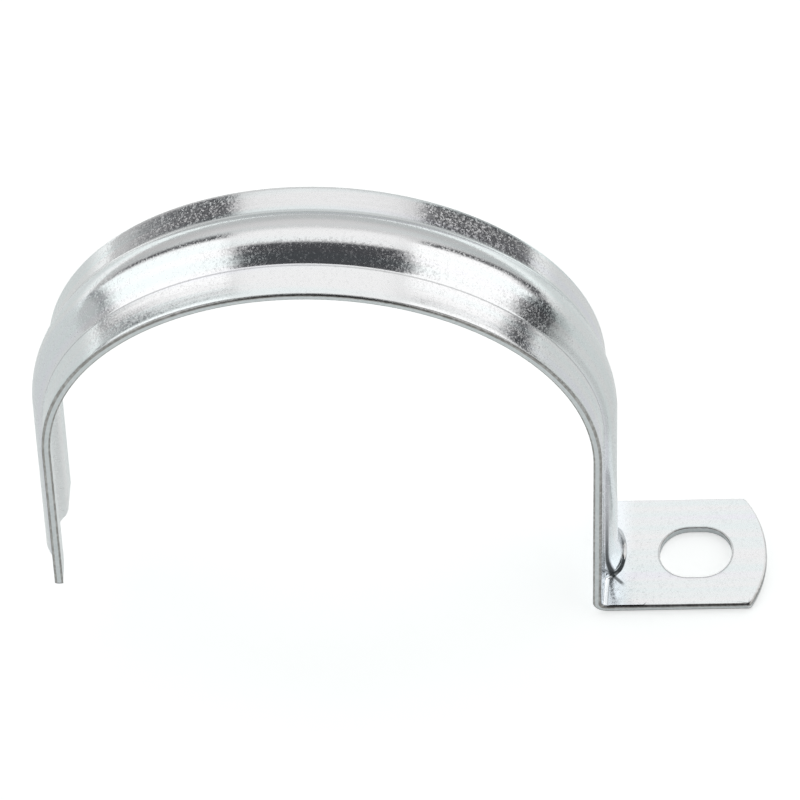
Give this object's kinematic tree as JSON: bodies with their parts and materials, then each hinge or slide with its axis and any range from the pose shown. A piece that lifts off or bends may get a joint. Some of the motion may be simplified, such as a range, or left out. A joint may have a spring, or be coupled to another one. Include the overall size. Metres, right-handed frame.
{
  "type": "one-hole conduit strap",
  "caption": "Zinc-plated one-hole strap for conduit: a half-ring strip with a pressed rib, a free leg and a foot with a bolt slot.",
  "frame": {"origin": "centre of the fixing slot, on the wall that the foot lies against", "axes": "+Z off the wall, +Y along the foot away from the conduit, +X along the conduit"},
  "size_m": [0.0216, 0.1203, 0.0933],
  "materials": {
    "zinc_plate": "bright zinc plate"
  },
  "bodies": {
    "root": {"strap": "zinc_plate"}
  },
  "joints": []
}
